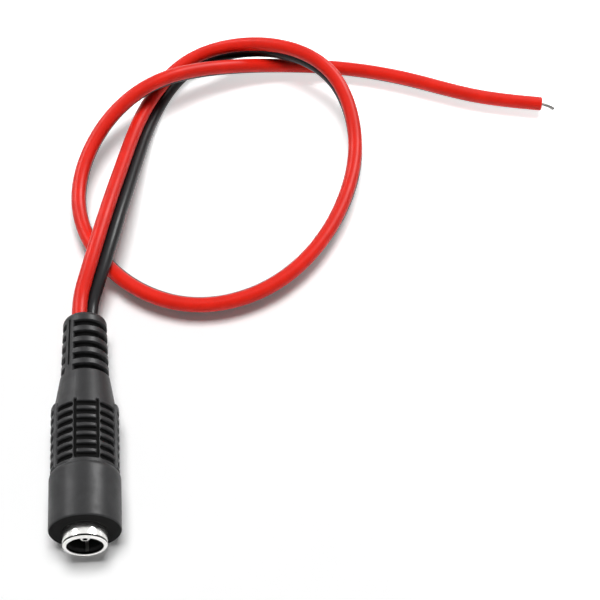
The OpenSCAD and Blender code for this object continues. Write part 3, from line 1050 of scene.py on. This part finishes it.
@dataclass
class Socket:
    """The metal of the mouth: a ferrule with a rounded rim, and the centre pin in its insulator."""

    # ferrule
    mouth_r: float = 2.8
    throat: Pair = (0.1, 0.4)
    lip: float = 0.15
    core_r: float = 3.2
    shell_r: float = 3.45
    shell_end: float = 10.4
    rim: float = 0.45
    crease: Pair = (0.1, 0.4)
    crease_wall: float = 0.04
    crease_deep: float = 0.16
    barrel_y: tuple[float, ...] = (0.45, 0.9, 1.6, 2.4, 3.2)
    # pin
    pin_r: float = 1.0
    pin_round: float = 0.4
    pin_setback: float = 1.1
    pin_y: Pair = (2.5, 5.0)
    hollow_r: float = 0.4
    hollow_floor_r: float = 0.2
    hollow_deep: float = 0.45
    hollow_bevel: Pair = (0.06, 0.03)
    depth: float = 10.0
    shank_r: float = 0.75
    core_end: float = 11.6
    head_r: float = 1.3
    head_end: float = 11.9
    post_r: float = 0.6
    post_end: float = 15.0
    # meshes
    turns: int = 128
    lip_steps: int = 8
    rim_steps: int = 14
    pin_steps: int = 10
    sharp: float = 40.0
    near: float = 0.01

    def angles(self) -> np.ndarray:
        """Returns the angles of the turned lines, in radians."""
        return np.linspace(0, 2 * math.pi, self.turns, endpoint=False)

    def dull(self, piece: bpy.types.Object, along: Pair, radius: Pair) -> None:
        """Marks the points of a turned piece that lie in a zone for painted shade, which darkens them.

        Args:
            piece: The piece.
            along: Lowest and highest distance along Y.
            radius: Lowest and highest radius.
        """
        name = Mark.RECESS.value
        layer = piece.data.attributes.get(name) or piece.data.attributes.new(name, "FLOAT", "POINT")
        for vertex, mark in zip(piece.data.vertices, layer.data):
            x, y, z = vertex.co / MM
            places = ((y, *along), (math.hypot(x, z), *radius))
            if all(low - self.near <= value <= high + self.near for value, low, high in places):
                mark.value = 1.0

    def ferrule(self) -> bpy.types.Object:
        """Turns the ferrule, with a crease behind its lip.

        Returns:
            The piece.
        """
        lead_in, throat_end = self.throat
        front, back = self.crease
        rim_y = self.rim - self.lip
        stop = math.degrees(math.asin((front - rim_y) / self.rim))
        floor = (front + self.crease_wall, back - self.crease_wall)
        bottom = self.shell_r - self.crease_deep
        outline = [(throat_end, self.core_r), (throat_end, self.mouth_r), (lead_in, self.mouth_r)]
        outline += arc((0.0, self.mouth_r + self.lip), (self.lip, self.lip), -180, -90, self.lip_steps)
        outline += arc((rim_y, self.shell_r - self.rim), (self.rim, self.rim), -90, stop, self.rim_steps)
        outline += [(y, bottom) for y in floor]
        outline += [(y, self.shell_r) for y in (back, *self.barrel_y, self.shell_end)]
        outline += [(self.shell_end, self.core_r)]
        piece = lathe("Ferrule", outline, self.angles(), ring=True)
        # painted shade on the crease's floor and a painted dark reflection on the throat
        self.dull(piece, floor, (bottom, bottom))
        self.dull(piece, self.throat, (self.mouth_r, self.core_r))
        return piece

    def pin(self) -> bpy.types.Object:
        """Turns the centre pin, with a hollow tip, a riveted head and a solder post.

        Returns:
            The piece.
        """
        tip, inner = self.pin_setback, self.pin_setback + self.hollow_deep
        wall = (tip + self.hollow_bevel[0], self.hollow_r - self.hollow_bevel[1])
        corner = (tip + self.pin_round, self.pin_r - self.pin_round)
        outline = [(inner, 0.0), (inner, self.hollow_floor_r), wall, (tip, self.hollow_r)]
        outline += arc(corner, (self.pin_round, self.pin_round), -90, 0, self.pin_steps)
        outline += [(y, self.pin_r) for y in (*self.pin_y, self.depth)]
        outline += [(self.depth, self.shank_r), (self.core_end, self.shank_r)]
        outline += [(self.core_end, self.head_r), (self.head_end, self.head_r)]
        outline += [(self.head_end, self.post_r), (self.post_end, self.post_r), (self.post_end, 0.0)]
        piece = lathe("Pin", outline, self.angles(), ring=False)
        # painted shade in the hollow tip
        self.dull(piece, (wall[0], inner), (0.0, wall[1]))
        return piece

    def build(self, metal: bpy.types.Material) -> None:
        """Builds and dresses the ferrule and the pin.

        Args:
            metal: Their plating.
        """
        for piece, node in ((self.ferrule(), "contact_shell"), (self.pin(), "centre_pin")):
            piece.data.materials.append(metal)
            piece.data.shade_smooth()
            settle(piece, Slot.NICKEL, self.sharp, node)


# The lead


@dataclass(frozen=True)
class Route:
    """The way of the red core, as laid in the part's source: x, distance behind route_y, rise and lean."""

    exit_y: float = 41.1
    route_y: float = 40.7
    straight: tuple[float, ...] = (18.5, 26.5, 35.1, 41.4, 45.4)
    red: Pair = (-0.8004, 1.0244)
    floor: float = -5.6
    core_r: float = 1.25
    pitch: float = 2.6
    pair_turn: float = -38.0
    close_to_end: tuple[float, ...] = (0.024, 0.016, 0.009, 0.004, 0.0)
    points: tuple[tuple[float, float, float, float], ...] = (
        (1, 10, 5, -42), (4, 21.5, 5.6, -44), (7, 34.5, 2.8, -38), (10, 48, 0, -32),
        (17, 59.5, 0, 0), (27, 61.5, 2.6, 20), (38, 57, 6.2, 20), (47, 50, 5.4, 14),
        (49.5, 37, 0.8, 4), (46, 24.5, 0, -8), (40, 13.5, 0.2, -24), (30.5, 5, 0.2, -36),
        (17.5, 2.5, 0.2, -38), (6, 8.5, 0.2, -32), (-1, 20, 0, -12), (-2, 32, 0.4, 10),
        (3.5, 43.5, 3.8, 28), (13, 50.5, 6.6, 36), (24.5, 56, 2.8, 40), (36.5, 58, 0, 42),
        (48.5, 56.5, 0, 42), (60.5, 52.5, 0.2, 38), (71.5, 47, 0, 42), (84, 44.5, 0, 42),
    )

    def way(self) -> np.ndarray:
        """Gives the points that the smooth curve follows, first the straight ones in and past the moulding.

        Returns:
            One row for each point: x, y, z and lean in degrees.
        """
        rows = [(self.red[0], y, self.red[1], self.pair_turn) for y in self.straight]
        for x, behind, rise, lean in self.points:
            z = self.floor + self.core_r + self.pitch * math.cos(math.radians(lean)) + rise
            rows.append((x, self.route_y + behind, z, lean))
        return np.array(rows)

    def sample(self, count: int) -> tuple[np.ndarray, np.ndarray, np.ndarray]:
        """Follows the uniform cubic b-spline of the points.

        Args:
            count: How many samples to take, besides those close to the end.

        Returns:
            The red core's middle, its heading, and the direction from the red core to the black one.
        """
        way = self.way()
        last = len(way) - 1
        way = np.vstack([2 * way[0] - way[1], way, 2 * way[-1] - way[-2]])
        t = np.append(np.linspace(0, last, count)[:-1], last - np.array(self.close_to_end))
        k = np.minimum(t.astype(int), last - 1)
        u = (t - k)[:, None]
        shares = ((1 - u) ** 3, 3 * u**3 - 6 * u**2 + 4, -3 * u**3 + 3 * u**2 + 3 * u + 1, u**3)
        slopes = (-((1 - u) ** 2), 3 * u**2 - 4 * u, -3 * u**2 + 2 * u + 1, u**2)
        spot = sum(way[k + i] * share for i, share in enumerate(shares)) / 6
        slope = sum(way[k + i] * share for i, share in enumerate(slopes)) / 2
        ahead = slope[:, :3] / np.linalg.norm(slope[:, :3], axis=1, keepdims=True)
        up = np.array([0, 0, 1]) - ahead * ahead[:, 2:]
        up /= np.linalg.norm(up, axis=1, keepdims=True)
        lean = np.radians(spot[:, 3:])
        across = np.cross(up, ahead) * np.sin(lean) - up * np.cos(lean)
        return spot[:, :3], ahead, across


@dataclass
class Core:
    """One insulated core of the lead with its bare end."""

    WEB_SOFT: ClassVar[float] = 0.06
    STRAND_STEPS: ClassVar[int] = 18
    STRAND_SIDES: ClassVar[int] = 12
    STRAND_TAPER: ClassVar[float] = 0.12
    DROOP_SLOPE: ClassVar[float] = 0.8

    side: Side
    slot: Slot
    route: Route
    samples: int = 340
    web_reach: float = 1.3
    web_half: float = 0.24
    end_round: float = 0.3
    sides: int = 40
    bare_len: float = 2.4
    bare_r: float = 0.26
    strands: int = 9
    strand_share: float = 0.34
    turns: float = 0.35
    droop: float = 1.0
    sharp: float = 50.0

    def middle(self) -> tuple[np.ndarray, np.ndarray, np.ndarray]:
        """Gives the core's own line.

        Returns:
            Its middle, its heading, and the direction to the other core.
        """
        spot, ahead, across = self.route.sample(self.samples)
        side = self.side.value
        return spot + across * self.route.pitch * side, ahead, across * (1 - 2 * side)

    @classmethod
    def tube_recipe(cls) -> Recipe:
        """Makes the tree that draws insulation along a line.

        Returns:
            A geometry tree: a round section with a thin web towards the other core, swept along the line,
            with its far end rounded.
        """
        names = ("Radius", "Web Reach", "Web Half Width", "End Round")
        recipe = Recipe.shape("Insulated Core", {**{n: float for n in names}, "Sides": int})
        graph, radius, bend = recipe.graph, recipe["Radius"], recipe["End Round"]
        named = {"Name": Mark.FACING.value}
        facing = graph.node("GeometryNodeInputNamedAttribute", named, data_type="FLOAT_VECTOR").outputs[0]
        line = graph.node("GeometryNodeMeshToCurve", {"Mesh": recipe["Geometry"]}).outputs[0]
        held = graph.node("GeometryNodeSetCurveNormal", {"Curve": line, "Normal": facing}, mode="FREE")
        x, y, z = graph.axes()
        facing_side = graph.math("GREATER_THAN", x, 0.0)
        on_web = (abs(y) - recipe["Web Half Width"]).inside(cls.WEB_SOFT * MM) * facing_side
        webbed = graph.point(x.towards(x.most(recipe["Web Reach"]), on_web), y, z)
        section = graph.moved(graph.circle(recipe["Sides"], radius), webbed)
        length = Field(graph, graph.node("GeometryNodeSplineLength").outputs["Length"])
        to_end = length - graph.node("GeometryNodeSplineParameter").outputs["Length"]
        inward = (bend - to_end).most(0.0)
        edge = radius - bend + (bend * bend - inward * inward).most(0.0).root()
        recipe.close(graph.swept(held.outputs[0], section, edge / radius))
        return recipe

    @classmethod
    def strand_recipe(cls) -> Recipe:
        """Makes the tree that twists tinned strands.

        Returns:
            A geometry tree: strands laid around a middle one along +X, drooping a little towards -Z.
        """
        names = ("Strand Radius", "Lay Radius", "Length", "Turns", "Droop")
        recipe = Recipe.shape("Twisted Strands", {"Strands": int, **{n: float for n in names}})
        graph, count, lay = recipe.graph, recipe["Strands"], recipe["Lay Radius"]
        line = graph.node("GeometryNodeCurvePrimitiveLine", {"End": graph.point(recipe["Length"])}).outputs[0]
        steps = {"Curve": line, "Count": cls.STRAND_STEPS}
        fine = graph.node("GeometryNodeResampleCurve", steps, mode="COUNT").outputs[0]
        amount = {"Geometry": fine, "Amount": count}
        copies = graph.node("GeometryNodeDuplicateElements", amount, domain="SPLINE").outputs
        share = Field(graph, graph.node("GeometryNodeSplineParameter").outputs["Factor"])
        angle = Field(graph, copies["Duplicate Index"]) / count + share * recipe["Turns"]
        angle = angle * (2 * math.pi)
        sag = share * (share + cls.DROOP_SLOPE) / (1 + cls.DROOP_SLOPE) * recipe["Droop"] * -1.0
        tight = lay * (share * share * -cls.STRAND_TAPER + 1.0)
        x = share * recipe["Length"]
        laid = graph.point(x, angle.cosine() * tight, angle.sine() * tight + sag)
        both = graph.node("GeometryNodeJoinGeometry")
        for curve, spot, radius in (
            (copies[0], laid, recipe["Strand Radius"]),
            (fine, graph.point(x, 0.0, sag), lay),
        ):
            strand = graph.swept(graph.moved(curve, spot), graph.circle(cls.STRAND_SIDES, radius))
            graph.feed(both.inputs[0], strand)
        recipe.close(both.outputs[0])
        return recipe

    def insulation(
        self, tube: Recipe, plastic: bpy.types.Material, middle: np.ndarray, facing: np.ndarray
    ) -> bpy.types.Object:
        """Builds and dresses the insulated core.

        Args:
            tube: The tree for the insulation.
            plastic: Its plastic.
            middle: The core's line.
            facing: The direction to the other core along it.

        Returns:
            The piece.
        """
        links = [(i, i + 1) for i in range(len(middle) - 1)]
        core = new_piece(f"{self.side.name.title()}_core", middle, edges=links)
        layer = core.data.attributes.new(Mark.FACING.value, "FLOAT_VECTOR", "POINT")
        layer.data.foreach_set("vector", facing.astype(np.float32).ravel())
        tube.apply(core, {
            "Radius": self.route.core_r * MM,
            "Web Reach": self.web_reach * MM,
            "Web Half Width": self.web_half * MM,
            "End Round": self.end_round * MM,
            "Sides": self.sides,
            "Material": plastic,
        })
        settle(core, self.slot, self.sharp, f"{self.side.name.lower()}_wire")
        return core

    def bare_end(
        self, strand: Recipe, tinned: bpy.types.Material, end: np.ndarray, ahead: np.ndarray
    ) -> bpy.types.Object:
        """Builds and dresses the bare end.

        Args:
            strand: The tree for the strands.
            tinned: Their tinned copper.
            end: Where the insulation ends.
            ahead: The core's heading there.

        Returns:
            The piece.
        """
        tip = new_piece(f"{self.side.name.title()}_strands", np.zeros((1, 3)))
        thick = self.strand_share * self.bare_r
        strand.apply(tip, {
            "Strands": self.strands,
            "Strand Radius": thick * MM,
            "Lay Radius": (self.bare_r - thick) * MM,
            "Length": self.bare_len * MM,
            "Turns": self.turns,
            "Droop": self.droop * MM,
            "Material": tinned,
        })
        along = Vector(ahead)
        up = (Vector((0, 0, 1)) - along * along.z).normalized()
        turn = Matrix((along, up.cross(along), up)).transposed().to_4x4()
        tip.data.transform(Matrix.Translation(Vector(end) * MM) @ turn)
        settle(tip, Slot.TINNED, self.sharp, f"{self.side.name.lower()}_tip")
        return tip

    def build(
        self, tube: Recipe, strand: Recipe, plastic: bpy.types.Material, tinned: bpy.types.Material
    ) -> None:
        """Args:
            tube: The tree for the insulation.
            strand: The tree for the bare end.
            plastic: The insulation.
            tinned: The tinned copper.
        """
        middle, ahead, facing = self.middle()
        core = self.insulation(tube, plastic, middle, facing)
        tip = self.bare_end(strand, tinned, middle[-1], ahead[-1])
        length = float(np.linalg.norm(np.diff(middle, axis=0), axis=1).sum())
        first_part = middle[: self.samples // 4, 1]
        leave = middle[np.argmin(np.abs(first_part - self.route.exit_y))]
        (leave * MM).tolist()
        (middle * MM).tolist()
        log.info("%s: %.0f mm of cord", core.name, length)


# The studio


@dataclass(frozen=True)
class Lamp:
    """A soft lamp, with its place and size in metres and its power in watts."""

    name: str
    place: Point
    size: Pair
    power: float
    shine: Shine

    def hang(self, aim: Point) -> None:
        """Hangs the lamp.

        Args:
            aim: The point that it faces, in metres.
        """
        data = bpy.data.lights.new(self.name, "AREA")
        data.shape = "RECTANGLE"
        data.size, data.size_y = self.size
        data.energy = self.power
        lamp = bpy.data.objects.new(self.name, data)
        lamp.location = self.place
        lamp.rotation_euler = (Vector(aim) - Vector(self.place)).to_track_quat("-Z", "Y").to_euler()
        lamp.visible_diffuse, lamp.visible_glossy = self.shine.value
        bpy.context.scene.collection.objects.link(lamp)


@dataclass
class Studio:
    """White floor, white surroundings, soft lamps and the camera."""

    # camera, which sees the origin at a pixel of the photograph
    lens: float = 96.0
    sensor: float = 36.0
    clip: Pair = (0.01, 20.0)
    tilt: float = 55.0
    turn: float = 4.4
    depth: float = 241.7
    pixel: Pair = (85.0, 546.1)
    frame_px: float = 600.0
    # floor, which glows more with distance from the origin
    floor: float = -5.6
    floor_gap: float = 0.01
    floor_half: float = 3000.0
    paper: Colour = (0.94, 0.94, 0.94)
    ambient: float = 0.06
    lift: float = 0.07
    white_from: float = 45.0
    white_at: float = 150.0
    # lamps
    aim: Point = (0.03, 0.06, 0.0)
    lamps: tuple[Lamp, ...] = (
        Lamp("Softbox", (0.04, 0.12, 1.3), (0.6, 0.6), 17.0, Shine.LIGHT),
        Lamp("Strip_left", (-0.75, 0.8, 0.8), (0.6, 0.35), 9.0, Shine.HIGHLIGHT),
        Lamp("Strip_right", (0.8, 0.75, 0.85), (0.6, 0.4), 18.0, Shine.HIGHLIGHT),
    )

    def camera(self) -> None:
        """Puts the camera where the photograph was taken from: the origin falls on its pixel."""
        data = bpy.data.cameras.new("Camera")
        data.lens, data.sensor_width = self.lens, self.sensor
        data.clip_start, data.clip_end = self.clip
        a, e = math.radians(self.turn), math.radians(self.tilt)
        right = Vector((math.cos(a), -math.sin(a), 0))
        ahead = Vector((math.sin(a) * math.cos(e), math.cos(a) * math.cos(e), -math.sin(e)))
        up = right.cross(ahead)
        focal = self.lens / self.sensor * self.frame_px
        across, down = ((p - self.frame_px / 2) / focal for p in self.pixel)
        place = (right * across - up * down + ahead) * (-self.depth * MM)
        camera = bpy.data.objects.new("Camera", data)
        camera.matrix_world = Matrix.Translation(place) @ Matrix((right, up, -ahead)).transposed().to_4x4()
        bpy.context.scene.collection.objects.link(camera)
        bpy.context.scene.camera = camera

    @staticmethod
    def seen(graph: Graph) -> Field:
        """Tells the rays that show the background.

        Args:
            graph: The graph of the floor's or the world's shader.

        Returns:
            1 for camera, glossy and transmission rays, 0 for others.
        """
        rays = graph.node("ShaderNodeLightPath").outputs
        seen = Field(graph, rays["Is Camera Ray"]).most(rays["Is Glossy Ray"])
        return seen.most(rays["Is Transmission Ray"])

    def surroundings(self) -> None:
        """Makes the white world, which lights the object only a little."""
        world = bpy.data.worlds.new("Studio")
        bpy.context.scene.world = world
        world.use_nodes = True
        graph = Graph(world.node_tree)
        back = world.node_tree.nodes["Background"]
        back.inputs["Color"].default_value = opaque(WHITE)
        strength = graph.ramp(self.seen(graph), (0.0, 1.0), (self.ambient, 1.0), smooth=False)
        graph.feed(back.inputs["Strength"], strength)

    def ground(self) -> None:
        """Makes the white floor, which keeps the shadow near the origin and, further away, glows over it as
        painted light.
        """
        half, z = self.floor_half, self.floor - self.floor_gap
        corners = [(x * half, y * half, z) for x, y in ((-1, -1), (1, -1), (1, 1), (-1, 1))]
        floor = new_piece("Floor", corners, faces=[(0, 1, 2, 3)])
        paper = bpy.data.materials.new("White paper")
        paper.use_nodes = True
        graph = Graph(paper.node_tree)
        paper.node_tree.nodes.remove(paper.node_tree.nodes["Principled BSDF"])
        matt = graph.node("ShaderNodeBsdfDiffuse", {"Color": opaque(self.paper)})
        place = graph.object_place()
        away = graph.node("ShaderNodeVectorMath", {0: place}, operation="LENGTH").outputs["Value"]
        # painted light: the glow grows with distance and washes out the shadow far from the origin
        lift = graph.ramp(away, (self.white_from * MM, self.white_at * MM), (self.lift, 1.0))
        glow = graph.node("ShaderNodeEmission", {"Color": opaque(WHITE), "Strength": self.seen(graph) * lift})
        both = graph.node("ShaderNodeAddShader", {0: matt.outputs[0], 1: glow.outputs[0]})
        graph.feed(paper.node_tree.nodes["Material Output"].inputs["Surface"], both.outputs[0])
        floor.data.materials.append(paper)

    def build(self) -> None:
        """Sets up the whole studio."""
        bpy.context.scene.view_settings.view_transform = "Standard"
        self.camera()
        self.surroundings()
        self.ground()
        for lamp in self.lamps:
            lamp.hang(self.aim)
        log.info("studio: camera, world, floor and %d lamps", len(self.lamps))


# nodes that show as they are in the part, with their finishes
KEPT_NODES = {
    "insulator": Slot.CORE,
    "leaf_contact": Slot.SPRING,
    "red_joint": Slot.TINNED,
    "black_joint": Slot.TINNED,
}


def main() -> None:
    """Builds every part of the pigtail in order, dresses it and sets it in the studio."""
    logging.basicConfig(level=logging.INFO, format="%(name)s: %(message)s")
    skin, plate = skin_group(), plate_group()
    finish = {f.slot: f.material(skin) for f in PLASTICS}
    finish.update({f.slot: f.material(plate) for f in METALS})

    Studio().build()
    tube, strand = Core.tube_recipe(), Core.strand_recipe()
    for side, slot in ((Side.RED, Slot.RED), (Side.BLACK, Slot.BLACK)):
        Core(side, slot, Route()).build(tube, strand, finish[slot], finish[Slot.TINNED])
    Moulding().build(finish[Slot.HOUSING])
    Socket().build(finish[Slot.NICKEL])
    for node, slot in KEPT_NODES.items():
        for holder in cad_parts[node].material_slots:
            holder.material = finish[slot]
        log.info("%s: kept from the part, finish %s", node, slot.value)


if __name__ == "__main__":
    main()
